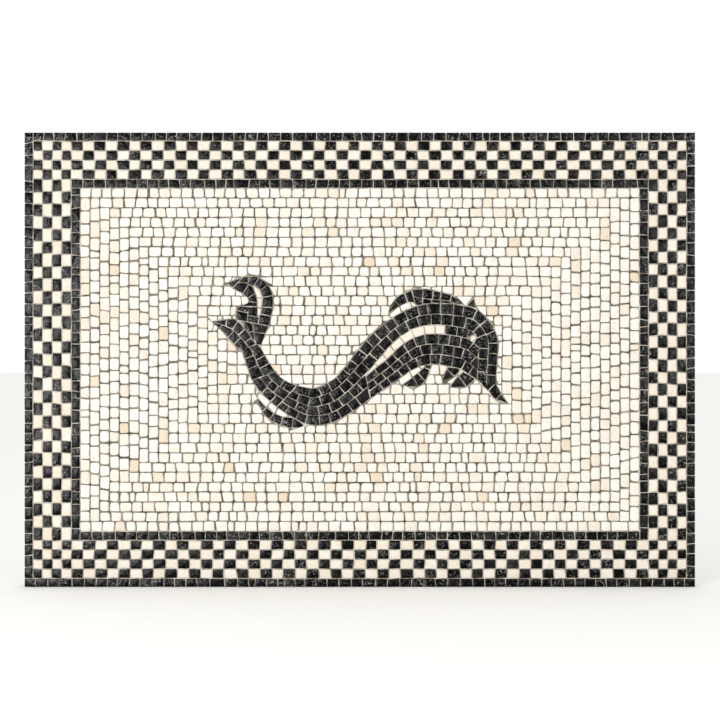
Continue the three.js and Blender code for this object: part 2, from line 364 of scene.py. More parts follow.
class Fence:
    """The middle line of the joint round an area, which a neighbour's stones don't cross."""

    SAMPLE = 1.0

    def __init__(self, outline, margin=HALF_JOINT):
        self.points = []
        self.normals = []
        for a, b in edges_of(outline):
            length = (b - a).length
            if length < 0.01:
                continue
            normal = outward(a, b)
            count = max(1, round(length / self.SAMPLE))
            for i in range(count):
                self.points.append(a.lerp(b, (i + 0.5) / count) + normal * margin)
                self.normals.append(normal)
        self.tree = kdtree.KDTree(len(self.points))
        for i, point in enumerate(self.points):
            self.tree.insert(point.to_3d(), i)
        self.tree.balance()
        flat = [point.to_3d() for point in self.points]
        self.area = bvhtree.BVHTree.FromPolygons(flat, [range(len(flat))])
        self.low = Vector((min(p.x for p in self.points), min(p.y for p in self.points)))
        self.high = Vector((max(p.x for p in self.points), max(p.y for p in self.points)))

    def nearest(self, point):
        i = self.tree.find(point.to_3d())[1]
        return self.points[i], self.normals[i]

    def depth(self, point):
        """How far inside the fence a point lies, negative outside it."""
        distance = self.tree.find(point.to_3d())[2]
        if not (self.low.x < point.x < self.high.x and self.low.y < point.y < self.high.y):
            return -distance
        over = Vector((point.x, point.y, 1))
        return distance if self.area.ray_cast(over, Vector((0, 0, -1)))[0] else -distance

    def meets(self, polygon):
        return not (
            max(p.x for p in polygon) < self.low.x
            or min(p.x for p in polygon) > self.high.x
            or max(p.y for p in polygon) < self.low.y
            or min(p.y for p in polygon) > self.high.y
        )


# Cutting cells along the figure: how far a cell may reach over a fence, how often it is cut,
# where in it a part may be looked for, and how clear of the fences such a place has to be
TOUCH = 0.3
PASSES = 6
SEED_SHARES = (0.25, 0.6)
SEED_CLEARANCE = 0.4


def rim_points(polygon):
    spots = []
    for a, b in edges_of(polygon):
        count = max(1, round((b - a).length / 2))
        spots += [a.lerp(b, i / count) for i in range(count)]
    return spots


def left_round(seed, cell, fences):
    """The convex part of a cell round a seed that the fences leave."""
    rest = cell
    met = set()
    for _ in range(PASSES):
        worst_depth, worst_spot, worst_fence = TOUCH, None, None
        for number, fence in enumerate(fences):
            for spot in rim_points(rest):
                depth = fence.depth(spot)
                if depth > worst_depth:
                    worst_depth, worst_spot, worst_fence = depth, spot, number
        if worst_spot is None:
            return rest
        anchor, normal = fences[worst_fence].nearest(worst_spot if worst_fence in met else seed)
        if worst_fence not in met or (seed - anchor).dot(normal) < 0.1:
            normal = (seed - anchor).normalized()
        met.add(worst_fence)
        rest = clip(rest, anchor, normal)
        if len(rest) < 3:
            return []
    return rest


def kept_within(cell, fence):
    """A convex polygon cut back to the inside of a fence."""
    rest = cell
    for _ in range(PASSES):
        worst = min(rim_points(rest), key=fence.depth)
        if fence.depth(worst) > -TOUCH:
            return rest
        anchor, normal = fence.nearest(worst)
        rest = clip(rest, anchor, -normal)
        if len(rest) < 3:
            return []
    return rest


def kept_apart(polygon, others):
    """A polygon cut back where it would lie over others."""
    rest = polygon
    for other in others:
        middle = middle_of(rest)
        lines = [(a, outward(a, b)) for a, b in edges_of(other) if (b - a).length > NO_EDGE]
        point, normal = max(lines, key=lambda line: (middle - line[0]).dot(line[1]))
        rest = clip(rest, point, normal)
        if len(rest) < 3:
            return []
    return rest


def carved(cell, fences):
    """The parts of a cell that the fences leave."""
    near = [fence for fence in fences if fence.meets(cell)]
    if not near:
        return [cell]
    middle = middle_of(cell)
    seeds = [middle] + [corner.lerp(middle, share) for share in SEED_SHARES for corner in cell]
    parts = []
    for seed in seeds:
        if any(fence.depth(seed) > -SEED_CLEARANCE for fence in near):
            continue
        if any(all((seed - a).dot(outward(a, b)) < 0 for a, b in edges_of(part)) for part in parts):
            continue
        part = kept_apart(left_round(seed, cell, near), parts) if parts else left_round(seed, cell, near)
        if len(part) > 2 and mean_width(part) > SMALLEST_WIDTH + JOINT:
            parts.append(part)
    return parts


# Stones from cells
class Stone:
    """A stone's flat outline and its own place among the tints of its kind."""

    def __init__(self, outline):
        self.outline = outline
        self.middle = middle_of(outline)
        self.tint = dice.random()


def stones_from(cells, jitter, slack, narrowest=SMALLEST_WIDTH):
    """Stones a joint apart: cells drawn in by half a joint and a little more, with corners a bit off."""
    stones = []
    wander = lambda: dice.uniform(-jitter, jitter)
    for cell in cells:
        outline = shrunk(anticlockwise(cell), HALF_JOINT + dice.uniform(0, slack))
        outline = [point + Vector((wander(), wander())) for point in outline]
        outline = simplified(hull(outline), SHORTEST_EDGE) if len(outline) > 2 else []
        if len(outline) > 2 and signed_area(outline) > SMALLEST_AREA and mean_width(outline) > narrowest:
            stones.append(Stone(outline))
    return stones


# Courses round the panel
SIDES = ["top", "right", "bottom", "left"]
LYING_SIDES = ["top", "bottom"]

# How far the joints between two courses wander from their straight line, and over what length
BORDER_SWAY = 0.48
GROUND_SWAY = 0.8
SWAY_LENGTH = 45


class Course:
    """One course round the panel, from the middle of the joint outside it to that of the joint inside it."""

    def __init__(self, number, half_x, half_z, width, sway):
        self.number = number
        self.half_x = half_x + HALF_JOINT
        self.half_z = half_z + HALF_JOINT
        self.depth = width + JOINT
        self.sway = sway

    def at(self, side, s, t):
        if side in LYING_SIDES:
            return Vector((s, self.half_z - t if side == "top" else t - self.half_z))
        return Vector((t - self.half_x if side == "left" else self.half_x - t, s))

    def joint_line(self, side, s, inner):
        """How deep the joint line outside or inside the course lies at s, with the hand's wander in it."""
        apart = 7.3 * (self.number + inner), 3.1 * SIDES.index(side)
        return inner * self.depth + self.sway[inner] * noise.noise(Vector((s / SWAY_LENGTH, *apart)))

    def cell(self, side, start, end, slant_start=0, slant_end=0):
        return [
            self.at(side, start + slant_start, self.joint_line(side, start, 0)),
            self.at(side, end + slant_end, self.joint_line(side, end, 0)),
            self.at(side, end - slant_end, self.joint_line(side, end, 1)),
            self.at(side, start - slant_start, self.joint_line(side, start, 1)),
        ]

    def cells(self, side, cuts, slant, slack=0):
        """Cells between cuts, which slant a little and have joints of more or less width."""
        slants = [0] + [dice.gauss(0, slant) for _ in cuts[1:-1]] + [0]
        slacks = [0] + [abs(dice.gauss(0, slack)) for _ in cuts[1:-1]] + [0]
        starts = [cut + more for cut, more in zip(cuts, slacks)]
        ends = [cut - more for cut, more in zip(cuts[1:], slacks[1:])]
        spans = zip(starts, ends, slants, slants[1:])
        return [self.cell(side, start, end, before, after) for start, end, before, after in spans]

    def span(self, side, owns_start, owns_end):
        """Where a side starts and ends: it owns a corner, or stops short of the course that does."""
        full = self.half_x if side in LYING_SIDES else self.half_z
        start = -full if owns_start else self.depth - full
        end = full if owns_end else full - self.depth
        return start, end


def spread(start, end, pitch, unevenness):
    """Cuts between stones of uneven lengths, with a slim or a long one now and then."""
    count = max(1, round((end - start) / pitch))
    lengths = []
    for _ in range(count):
        odd = dice.random()
        length = dice.uniform(1 - unevenness, 1 + unevenness)
        if count > FEW and odd < ODD_SHARE:
            length *= SLIM
        elif count > FEW and odd > 1 - ODD_SHARE:
            length *= LONG
        lengths.append(length)
    cuts = [start]
    for length in lengths:
        cuts.append(cuts[-1] + length * (end - start) / sum(lengths))
    return cuts


def half_size(node):
    low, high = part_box(node)
    return Vector((high[0] - low[0], high[2] - low[2])) / 2 / MM


# Which sides own the corners: top left, top right, bottom right, bottom left; true where the row does
def corner_rows(number):
    return [number == 1] + [dice.random() < 0.5 for _ in range(3)]


def course_spans(course, rows):
    top_left, top_right, bottom_right, bottom_left = rows
    return {
        "top": course.span("top", top_left, top_right),
        "right": course.span("right", not bottom_right, not top_right),
        "bottom": course.span("bottom", bottom_left, bottom_right),
        "left": course.span("left", not bottom_left, not top_left),
    }


def black_course_cells(course, rows):
    cells = []
    for side, (start, end) in course_spans(course, rows).items():
        cells += course.cells(side, spread(start, end, BLACK_PITCH, BLACK_SPREAD), BLACK_SLANT)
    return cells


# The chequer
def chequer_cuts(side, full, pitch):
    """Cuts between the stones of the outermost chequer course, from one corner to the other."""
    count = CHEQUER_COUNTS[side]
    corner = CHEQUER_COURSES
    cuts = []
    for i in range(count + 1):
        if i <= corner:
            cuts.append(i * pitch)
        elif i >= count - corner:
            cuts.append(2 * full - (count - i) * pitch)
        else:
            share = (i - corner) / (count - 2 * corner)
            cuts.append(corner * pitch + share * (2 * full - 2 * corner * pitch))
    return cuts


def chequer_cells(course, ring, full_x, full_z):
    """The white and the black cells of one chequer course, ring courses in from the outermost."""
    cells = {"white": [], "black": []}
    for side in SIDES:
        full = full_x if side in LYING_SIDES else full_z
        count = CHEQUER_COUNTS[side]
        skipped = ring if side in LYING_SIDES else ring + 1
        cuts = [cut - full for cut in chequer_cuts(side, full, course.depth)][skipped : count - skipped + 1]
        cuts[1:-1] = [cut + dice.uniform(-CHEQUER_WANDER, CHEQUER_WANDER) for cut in cuts[1:-1]]
        for i, cell in enumerate(course.cells(side, cuts, CHEQUER_SLANT), skipped):
            # Black and white are counted from the left at the top, from the top at the right,
            # from the right at the bottom and from the bottom at the left
            place = count - 1 - i if side in ("right", "bottom") else i
            odd = (place + ring + (1 if side == "right" else 0)) % 2
            cells["white" if odd else "black"].append(cell)
    return cells


# The white ground
def free_runs(course, side, start, end, fences):
    """Lengths along a course's middle that the figure leaves free or blocks: start, end, free."""
    step = 1.0
    count = max(1, round((end - start) / step))
    runs = []
    for i in range(count):
        s = start + (i + 0.5) * (end - start) / count
        spot = course.at(side, s, course.depth / 2)
        free = not any(fence.depth(spot) > 0 for fence in fences)
        if runs and runs[-1][2] == free:
            runs[-1][1] = s + step / 2
        else:
            runs.append([s - step / 2, s + step / 2, free])
    runs[0][0] = start
    runs[-1][1] = end
    return runs


def ground_cuts(course, side, start, end, fences):
    """Cuts between ground stones, spread afresh in each length that the figure leaves free."""
    pitch = GROUND_PITCH_ACROSS if side in LYING_SIDES else GROUND_PITCH_UP
    runs = free_runs(course, side, start, end, fences)
    marks = [start]
    for i, (run_start, run_end, free) in enumerate(runs):
        if free:
            continue
        if run_end - run_start < SHORT_GAP:
            marks.append((run_start + run_end) / 2)
        else:
            marks += [run_start + TIP_INTO_GAP, run_end - TIP_INTO_GAP]
    marks.append(end)
    far_on = lambda i: i == 0 or marks[i] - marks[i - 1] > SHORTEST_RUN or marks[i] == end
    marks = [mark for i, mark in enumerate(marks) if far_on(i)]
    cuts = [start]
    for mark, following in zip(marks, marks[1:]):
        if following - mark > 1:
            cuts += spread(mark, following, pitch, GROUND_SPREAD)[1:]
    return cuts


def ground_cells(course, number, fences, one_row=False):
    cells = []
    if one_row:
        spans = {"top": (-course.half_x, course.half_x)}
    else:
        spans = course_spans(course, corner_rows(number))
    for side, (start, end) in spans.items():
        cuts = ground_cuts(course, side, start, end, fences)
        for cell in course.cells(side, cuts, GROUND_SLANT, GROUND_SLACK):
            cells += carved(anticlockwise(cell), fences)
    return cells


# The figure's stones
def stations(strip, share, start, end, fractions):
    """The places along a strip at fractions of the length of the line that runs at a share of its width."""
    steps = 60
    marks = [start + (end - start) * i / steps for i in range(steps + 1)]
    lengths = [0]
    for a, b in zip(marks, marks[1:]):
        lengths.append(lengths[-1] + (strip.at(b, share(b)) - strip.at(a, share(a))).length)
    places = []
    for fraction in fractions:
        goal = fraction * lengths[-1]
        i = min(steps - 1, max(0, sum(length <= goal for length in lengths) - 1))
        part = (goal - lengths[i]) / max(1e-6, lengths[i + 1] - lengths[i])
        places.append(marks[i] + part * (end - start) / steps)
    return places, lengths[-1]


def row_fractions(row, count):
    """Where a row's stones meet: the rows are shifted against each other."""
    shift = ROW_SHIFT if row % 2 == 0 else -ROW_SHIFT
    middles = [(i + shift + dice.uniform(-0.1, 0.1)) / count for i in range(1, count)]
    return [0] + middles + [1]


def row_cells(strip, start, end, rows, top=None, bottom=None, snap=None, pitch=FIGURE_STONE):
    """Cells of the rows of stones between two lines along a strip, from edge to edge if none is given."""
    upper = top or (lambda u: -strip.half_joint_share(u))
    lower = bottom or (lambda u: 1 + strip.half_joint_share(u))
    line_at = lambda part: lambda u: upper(u) + (lower(u) - upper(u)) * part
    cells = []
    for row in range(rows):
        near, far = line_at(row / rows), line_at((row + 1) / rows)
        centre = lambda u: (near(u) + far(u)) / 2
        _, length = stations(strip, centre, start, end, [1])
        count = max(1, round(length / pitch))
        places, _ = stations(strip, centre, start, end, row_fractions(row, count))
        if snap and start < snap < end and len(places) > 2:
            closest = min(range(1, len(places) - 1), key=lambda i: abs(places[i] - snap))
            places[closest] = snap
        spans = []
        for line in (near, far):
            cuts = [squared(strip, u, start, end, centre, line) for u in places]
            spans.append(zip(cuts, cuts[1:]))
        cells += [lane_cell(strip, near_span, far_span, near, far) for near_span, far_span in zip(*spans)]
    return cells


def squared(strip, u, start, end, centre, line):
    """Where a joint square to its row at u meets a line along the row."""
    if u - start < 0.001 or end - u < 0.001:
        return u
    step = 0.02
    spot = strip.at(u, centre(u))
    along = (strip.at(u + step, centre(u + step)) - strip.at(u - step, centre(u - step))).normalized()
    place = u
    for _ in range(4):
        miss = (strip.at(place, line(place)) - spot).dot(along)
        rate = (strip.at(place + step, line(place + step)) - strip.at(place, line(place))).dot(along) / step
        place = max(start, min(end, place - miss / max(rate, 1)))
    return place


def lane_cell(strip, near_span, far_span, near, far):
    """One cell of a row, a little longer at the strip's own ends so that its tip keeps its point."""
    along = (strip.at(near_span[1], 0.5) - strip.at(near_span[0], 0.5)).normalized()
    points = []
    for (a, b), line in ((near_span, near), (far_span, far)):
        for i in range(5):
            u = a + (b - a) * i / 4
            shift = Vector((0, 0))
            if u <= 0.001:
                shift = -along * TIP_REACH
            elif u >= strip.last - 0.001:
                shift = along * TIP_REACH
            points.append(strip.at(u, line(u)) + shift)
    return hull(points)


def stripe_middle(u):
    share = max(0, min(1, (u - STRIPE_FROM) / (STRIPE_LEVEL - STRIPE_FROM)))
    return STRIPE_START + (STRIPE_END - STRIPE_START) * share * share * (3 - 2 * share)


def stripe_half(u):
    return STRIPE_HALF * min(1, 0.1 + (u - STRIPE_FROM) / STRIPE_TAPER)


body = Strip(BODY_PAIRS)
eye_middle = body.at(EYE_STATION, EYE_SHARE)


def stripe_top(u):
    return stripe_middle(u) - stripe_half(u) - body.half_joint_share(u)


def stripe_bottom(u):
    return stripe_middle(u) + stripe_half(u) + body.half_joint_share(u)


def parting(u):
    """The line between the upper and the lower rows, which opens into the stripe."""
    if u > STRIPE_FROM:
        return stripe_top(u)
    share = (u - PARTING_FROM) / (STRIPE_FROM - PARTING_FROM)
    return 0.5 + (stripe_top(STRIPE_FROM) - 0.5) * share


def circle(middle, radius, sides=24):
    turn = 2 * math.pi / sides
    return [middle + radius * Vector((math.cos(i * turn), math.sin(i * turn))) for i in range(sides)]


# Each area of the figure besides the body: its edge lines, its rows, and the neighbours its stones stop at
AREAS = {
    "dorsal_fin": (DORSAL_PAIRS, [(0, 2.3, 1), (2.3, 5, 2)], ["body"]),
    "crest": (CREST_PAIRS, [(0, 1, 1)], ["body", "dorsal_fin"]),
    "pectoral_fin": (PECTORAL_PAIRS, [(0, 3, 1)], ["body"]),
    "jaw_fin": (JAW_PAIRS, [(0, 2, 1)], ["body"]),
    "throat_fin": (THROAT_PAIRS, [(0, 2, 1)], ["body", "jaw_fin"]),
    "belly_fin": (BELLY_FIN_PAIRS, [(0, 4, 1)], ["body"]),
    "lower_fluke": (LOWER_FLUKE_PAIRS, [(0, 3, 2)], ["body"]),
    "curled_fluke": (
        CURLED_FLUKE_PAIRS,
        [(0, 1.1, 2), (1.1, 2.3, 3), (2.3, 6.3, 2), (6.3, 7, 1)],
        ["fluke_sliver", "body", "lower_fluke"],
    ),
    "fluke_sliver": (SLIVER_PAIRS, [(0, 3, 1)], []),
}
fences = {"body": Fence(body.outline())}
for name, (pairs, _, _) in AREAS.items():
    fences[name] = Fence(Strip(pairs).outline())
figure_fences = list(fences.values())
eye_fence = Fence(circle(eye_middle, EYE_RADIUS))
brow = Brow(body, BROW_FROM, BROW_TO, BROW_WIDTH)
brow_fence = Fence(brow.outline(), 0)


def body_cells():
    """The rows along the body, which run on above and below the stripe into the head, stop at the brow."""
    rows = []
    for start, end, count in BODY_ROWS:
        rows += row_cells(body, start, end, count)
    rows += row_cells(body, PARTING_FROM, HEAD_TO, STRIPE_UPPER_ROWS, bottom=parting)
    rows += row_cells(body, PARTING_FROM, STRIPE_FROM, BELOW_PARTING_ROWS, top=parting)
    rows += row_cells(body, STRIPE_FROM, HEAD_TO, STRIPE_LOWER_ROWS, top=stripe_bottom)
    rows += row_cells(body, STRIPE_TO, HEAD_TO, 1, top=stripe_top, bottom=stripe_bottom, snap=EYE_STATION)
    cells = [part for cell in rows for part in carved(cell, [brow_fence])]
    cells += [kept_within(cell, fences["body"]) for cell in row_cells(brow, BROW_FROM, BROW_TO, BROW_ROWS)]
    cells += row_cells(body, *BEAK_ROWS)
    cells = [cell for cell in cells if len(cell) > 2]
    return [part for cell in cells for part in carved(cell, [eye_fence])]


def area_cells(name):
    pairs, rows, neighbours = AREAS[name]
    barriers = [fences[neighbour] for neighbour in neighbours]
    cells = []
    for start, end, count in rows:
        cells += row_cells(Strip(pairs), start, end, count, pitch=FIN_STONE)
    return [part for cell in cells for part in carved(cell, barriers)]


def lining_cells():
    cells = []
    for pairs in (DORSAL_LINING_PAIRS, PECTORAL_LINING_PAIRS, BELLY_LINING_PAIRS):
        strip = Strip(pairs)
        for cell in row_cells(strip, 0, strip.last, 1):
            cells += carved(cell, figure_fences)
    return cells


# Materials
def linear(hex_colour):
    """An sRGB hex colour as linear red, green, blue and alpha."""
    channels = [int(hex_colour[i : i + 2], 16) / 255 for i in (1, 3, 5)]
    return [c / 12.92 if c <= 0.04045 else ((c + 0.055) / 1.055) ** 2.4 for c in channels] + [1]


def add_node(tree, kind, inputs=None, stops=None, **settings):
    """Add one shader node with its settings, its colour stops and its links."""
    made = tree.nodes.new("ShaderNode" + kind)
    for key, value in settings.items():
        setattr(made, key, value)
    for key, value in (inputs or {}).items():
        if isinstance(value, bpy.types.NodeSocket):
            tree.links.new(value, made.inputs[key])
        else:
            made.inputs[key].default_value = linear(value) if isinstance(value, str) else value
    if stops:
        elements = made.color_ramp.elements
        while len(elements) < len(stops):
            elements.new(0.5)
        for element, (place, colour) in zip(elements, stops):
            element.position = place
            element.color = linear(colour) if isinstance(colour, str) else (colour, colour, colour, 1)
    return made


def new_material(name):
    material = bpy.data.materials.new(name)
    material.use_nodes = True
    material.node_tree.nodes.clear()
    return material, material.node_tree


def place_and(tree, *names):
    """A point's place, and the values that its piece keeps there under these names."""
    place = add_node(tree, "TexCoord").outputs["Object"]
    return [place] + [add_node(tree, "Attribute", attribute_name=name).outputs["Fac"] for name in names]


def finish_material(tree, colour, roughness, specular, bump=None):
    inputs = {"Base Color": colour, "Roughness": roughness, "Specular IOR Level": specular}
    if bump is not None:
        inputs["Normal"] = bump
    shader = add_node(tree, "BsdfPrincipled", inputs)
    add_node(tree, "OutputMaterial", {"Surface": shader.outputs[0]})


def per_mm(size):
    """The scale at which a noise pattern has features of a size in millimetres."""
    return 1 / (size * MM)


# Tumbled white marble: cream white, matt, a few stones beige or peach, with soft peach patches,
# fine pits and mortar dirt along the worn edges
def white_marble_material():
    material, tree = new_material("white_marble_tumbled")
    place, tint, rim = place_and(tree, "tint", "rim")
    tints = [(0.0, "#f1efe8"), (0.6, "#eeebe2"), (0.88, "#ebe4d8"), (0.97, "#e9ddcc"), (1.0, "#e3d1b8")]
    stone = add_node(tree, "ValToRGB", {"Fac": tint}, stops=tints).outputs[0]
    clouds = add_node(tree, "TexNoise", {"Vector": place, "Scale": per_mm(9), "Detail": 4.0}).outputs[0]
    patch = add_node(tree, "ValToRGB", {"Fac": clouds}, stops=[(0.52, 0.0), (0.74, 0.55)]).outputs[0]
    patched = add_node(tree, "Mix", {0: patch, 6: stone, 7: "#e6d3b9"}, data_type="RGBA").outputs[2]
    pits = add_node(tree, "TexNoise", {"Vector": place, "Scale": per_mm(1.3), "Detail": 2.0}).outputs[0]
    pit = add_node(tree, "ValToRGB", {"Fac": pits}, stops=[(0.64, 0.0), (0.72, 0.65)]).outputs[0]
    pitted = add_node(tree, "Mix", {0: pit, 6: patched, 7: "#98856b"}, data_type="RGBA").outputs[2]
    dirt = add_node(tree, "ValToRGB", {"Fac": rim}, stops=[(0.35, 0.0), (1.0, 0.8)]).outputs[0]
    colour = add_node(tree, "Mix", {0: dirt, 6: pitted, 7: "#94897a"}, data_type="RGBA").outputs[2]
    grain = add_node(tree, "TexNoise", {"Vector": place, "Scale": per_mm(0.8), "Detail": 5.0}).outputs[0]
    bump = add_node(tree, "Bump", {"Height": grain, "Strength": 0.35, "Distance": 0.0003}).outputs[0]
    finish_material(tree, colour, 0.7, 0.03, bump)
    return material


# Split black marble: near black, mottled with grey crystals, with pale veins and small glints where it broke
def black_marble_material():
    material, tree = new_material("black_marble_split")
    place, tint, rim = place_and(tree, "tint", "rim")
    tints = [(0.0, "#010101"), (0.5, "#030303"), (0.85, "#0a0a0a"), (1.0, "#20201f")]
    stone = add_node(tree, "ValToRGB", {"Fac": tint}, stops=tints).outputs[0]
    crystals = {"Vector": place, "Scale": per_mm(4.6), "Detail": 3.0, "Roughness": 0.55, "Distortion": 2.5}
    mottle = add_node(tree, "TexNoise", crystals).outputs[0]
    spots = add_node(tree, "ValToRGB", {"Fac": mottle}, stops=[(0.57, 0.0), (0.66, 1.0)]).outputs[0]
    # The mottling is strong in some stones and faint in others
    many_times = add_node(tree, "Math", {0: tint, 1: 13.7}, operation="MULTIPLY").outputs[0]
    sort = add_node(tree, "Math", {0: many_times}, operation="FRACT").outputs[0]
    strength = add_node(tree, "MapRange", {"Value": sort, "To Min": 0.1, "To Max": 0.85}).outputs[0]
    grey = add_node(tree, "Math", {0: spots, 1: strength}, operation="MULTIPLY").outputs[0]
    mottled = add_node(tree, "Mix", {0: grey, 6: stone, 7: "#93928f"}, data_type="RGBA").outputs[2]
    warp = add_node(tree, "TexNoise", {"Vector": place, "Scale": per_mm(6), "Detail": 3.0}).outputs["Color"]
    bent = add_node(tree, "Mix", {0: 0.012, 4: place, 5: warp}, data_type="VECTOR").outputs[1]
    cracks = add_node(tree, "TexVoronoi", {"Vector": bent, "Scale": per_mm(9)}, feature="DISTANCE_TO_EDGE")
    crack = cracks.outputs[0]
    vein = add_node(tree, "ValToRGB", {"Fac": crack}, stops=[(0.0, 0.9), (0.035, 0.0)]).outputs[0]
    thinned = add_node(tree, "Math", {0: vein, 1: grey}, operation="MULTIPLY").outputs[0]
    veined = add_node(tree, "Mix", {0: thinned, 6: mottled, 7: "#c9c7c2"}, data_type="RGBA").outputs[2]
    dirt = add_node(tree, "ValToRGB", {"Fac": rim}, stops=[(0.5, 0.0), (1.0, 0.5)]).outputs[0]
    colour = add_node(tree, "Mix", {0: dirt, 6: veined, 7: "#5d5850"}, data_type="RGBA").outputs[2]
    polish = {"Value": mottle, "From Min": 0.3, "From Max": 0.7, "To Min": 0.22, "To Max": 0.36}
    roughness = add_node(tree, "MapRange", polish).outputs[0]
    facets = add_node(tree, "TexVoronoi", {"Vector": place, "Scale": per_mm(2.4)}).outputs[0]
    broken = add_node(tree, "Math", {0: facets, 1: mottle}, operation="ADD").outputs[0]
    bump = add_node(tree, "Bump", {"Height": broken, "Strength": 0.3, "Distance": 0.0005}).outputs[0]
    finish_material(tree, colour, roughness, 0.02, bump)
    return material


# Sandy lime and cement mortar: matt, brown grey and gritty, with painted shade: darker where it lies deep in
# the field's joints, paler where it is grouted nearly flush
def mortar_material():
    material, tree = new_material("lime_cement_mortar")
    place, flush = place_and(tree, "flush")
    broad = add_node(tree, "TexNoise", {"Vector": place, "Scale": per_mm(8), "Detail": 3.0}).outputs[0]
    # Painted shade: the same mortar gets darker colours where it lies deep and paler ones where it is nearly
    # flush
    deep_painted_shade_stops = [(0.38, "#5c5549"), (0.64, "#a0988a")]
    flush_unshaded_stops = [(0.38, "#938c80"), (0.6, "#d6cfc2")]
    deep_painted_shade = add_node(tree, "ValToRGB", {"Fac": broad}, stops=deep_painted_shade_stops).outputs[0]
    flush_unshaded = add_node(tree, "ValToRGB", {"Fac": broad}, stops=flush_unshaded_stops).outputs[0]
    base = add_node(tree, "Mix", {0: flush, 6: deep_painted_shade, 7: flush_unshaded}, data_type="RGBA").outputs[2]
    sand = add_node(tree, "TexNoise", {"Vector": place, "Scale": per_mm(0.6), "Detail": 4.0}).outputs[0]
    grit = add_node(tree, "ValToRGB", {"Fac": sand}, stops=[(0.42, 0.0), (0.7, 0.35)]).outputs[0]
    colour = add_node(tree, "Mix", {0: grit, 6: base, 7: "#6d6456"}, data_type="RGBA").outputs[2]
    bump = add_node(tree, "Bump", {"Height": sand, "Strength": 0.7, "Distance": 0.0004}).outputs[0]
    finish_material(tree, colour, 0.95, 0.03, bump)
    return material


# Fibre cement board: flat grey, matt, with a faint felt texture and cloudy damp marks
def cement_board_material():
    material, tree = new_material("fibre_cement_board")
    place = place_and(tree)[0]
    clouds = add_node(tree, "TexNoise", {"Vector": place, "Scale": per_mm(70), "Detail": 5.0}).outputs[0]
    greys = [(0.3, "#a9a59b"), (0.7, "#bab6ac")]
    colour = add_node(tree, "ValToRGB", {"Fac": clouds}, stops=greys).outputs[0]
    stretched = add_node(tree, "Mapping", {"Vector": place, "Scale": (1, 1, 6)}).outputs[0]
    felt = add_node(tree, "TexNoise", {"Vector": stretched, "Scale": per_mm(5), "Detail": 6.0}).outputs[0]
    bump = add_node(tree, "Bump", {"Height": felt, "Strength": 0.3, "Distance": 0.0004}).outputs[0]
    finish_material(tree, colour, 0.9, 0.25, bump)
    return material


white_marble = white_marble_material()
black_marble = black_marble_material()
mortar = mortar_material()
cement_board = cement_board_material()


# Stones in the round: how a kind of stone is cut and laid, with its corners, its worn edge, its crown,
# its tilt, how deep it is sunk, how rough it is over what length, and which of the tints it has
Cut = namedtuple("Cut", "corner edge crown tilt sunk rough grain tints", defaults=[(0, 1)])
ground_cut = Cut(corner=(1, 2.6), edge=0.5, crown=0.25, tilt=0.012, sunk=0.3, rough=0.38, grain=5)
white_border_cut = Cut(
    corner=(0.3, 0.8), edge=0.3, crown=0.12, tilt=0.01, sunk=0.2, rough=0.16, grain=4, tints=(0.84, 0.97)
)
black_cut = Cut(corner=(0.3, 0.8), edge=0.3, crown=0.12, tilt=0.03, sunk=0.2, rough=0.24, grain=3)

STONE_SPLIT = 4
CORNER_STEP = 0.2


def shortest_edge(polygon):
    return min((b - a).length for a, b in edges_of(polygon))


def flat_stones(bm, number, stones, cut, back):
    """Lay the stones' outlines as faces at the back of the stones, with rounded corners."""
    corners_of_radius = {}
    for i, stone in enumerate(stones):
        corners = [bm.verts.new((p.x * MM, back, p.y * MM)) for p in stone.outline]
        for corner in corners:
            corner[number] = i
        bm.faces.new(corners)
        radius = min(dice.uniform(*cut.corner), 0.4 * shortest_edge(stone.outline))
        step = max(1, int(radius / CORNER_STEP))
        corners_of_radius.setdefault(step, []).extend(corners)
    for step, corners in corners_of_radius.items():
        offset = step * CORNER_STEP * MM
        bmesh.ops.bevel(
            bm, geom=corners, offset=offset, affect="VERTICES", segments=2, profile=0.5, material=-1
        )
    long_edges = [edge for edge in bm.edges if edge.calc_length() > STONE_SPLIT * MM]
    bmesh.ops.bisect_edges(bm, edges=long_edges, cuts=1)


def raise_stones(bm, number, stones, cut, back, face):
    """Give the flat stones their height, a worn edge and a slightly crowned face."""
    made = bmesh.ops.extrude_face_region(bm, geom=bm.faces[:], use_keep_orig=True)["geom"]
    fronts = [part for part in made if isinstance(part, bmesh.types.BMFace)]
    lifted = [part for part in made if isinstance(part, bmesh.types.BMVert)]
    rise = back - face - (cut.edge + cut.crown) * MM
    bmesh.ops.translate(bm, verts=lifted, vec=(0, -rise, 0))
    for width, height in ((cut.edge * 0.8, cut.edge), (cut.edge * 1.2, cut.crown)):
        made = bmesh.ops.extrude_face_region(bm, geom=fronts)["geom"]
        fronts = [part for part in made if isinstance(part, bmesh.types.BMFace)]
        for vert in [part for part in made if isinstance(part, bmesh.types.BMVert)]:
            middle = stones[round(vert[number])].middle
            inward = Vector((middle.x * MM - vert.co.x, 0, middle.y * MM - vert.co.z))
            vert.co += inward.normalized() * min(width * MM, 0.35 * inward.length)
            vert.co.y -= height * MM
    bmesh.ops.poke(bm, faces=fronts)
    bmesh.ops.recalc_face_normals(bm, faces=bm.faces[:])


